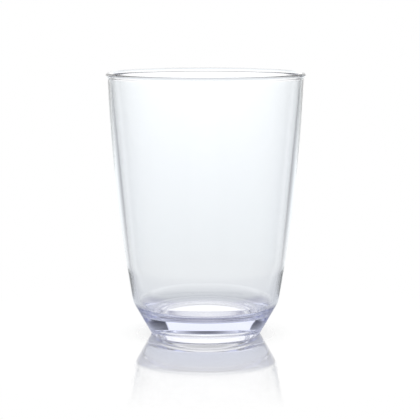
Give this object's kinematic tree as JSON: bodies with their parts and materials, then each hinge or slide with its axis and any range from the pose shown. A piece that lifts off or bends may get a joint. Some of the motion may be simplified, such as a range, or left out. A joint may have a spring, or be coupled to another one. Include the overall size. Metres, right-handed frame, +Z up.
{
  "type": "plastic tumbler",
  "caption": "Clear moulded drinking tumbler with a bowed tapering wall, fine round lip, tapered foot and thick base with a recess under the foot.",
  "frame": {"origin": "centre of the foot, on the surface the tumbler stands on", "axes": "+Z up along the axis of the tumbler, towards the mouth; X and Y are free, because the tumbler is round"},
  "size_m": [0.0844, 0.0844, 0.112],
  "materials": {
    "clear_plastic": "clear, polished"
  },
  "bodies": {
    "root": {"tumbler": "clear_plastic"}
  },
  "joints": []
}
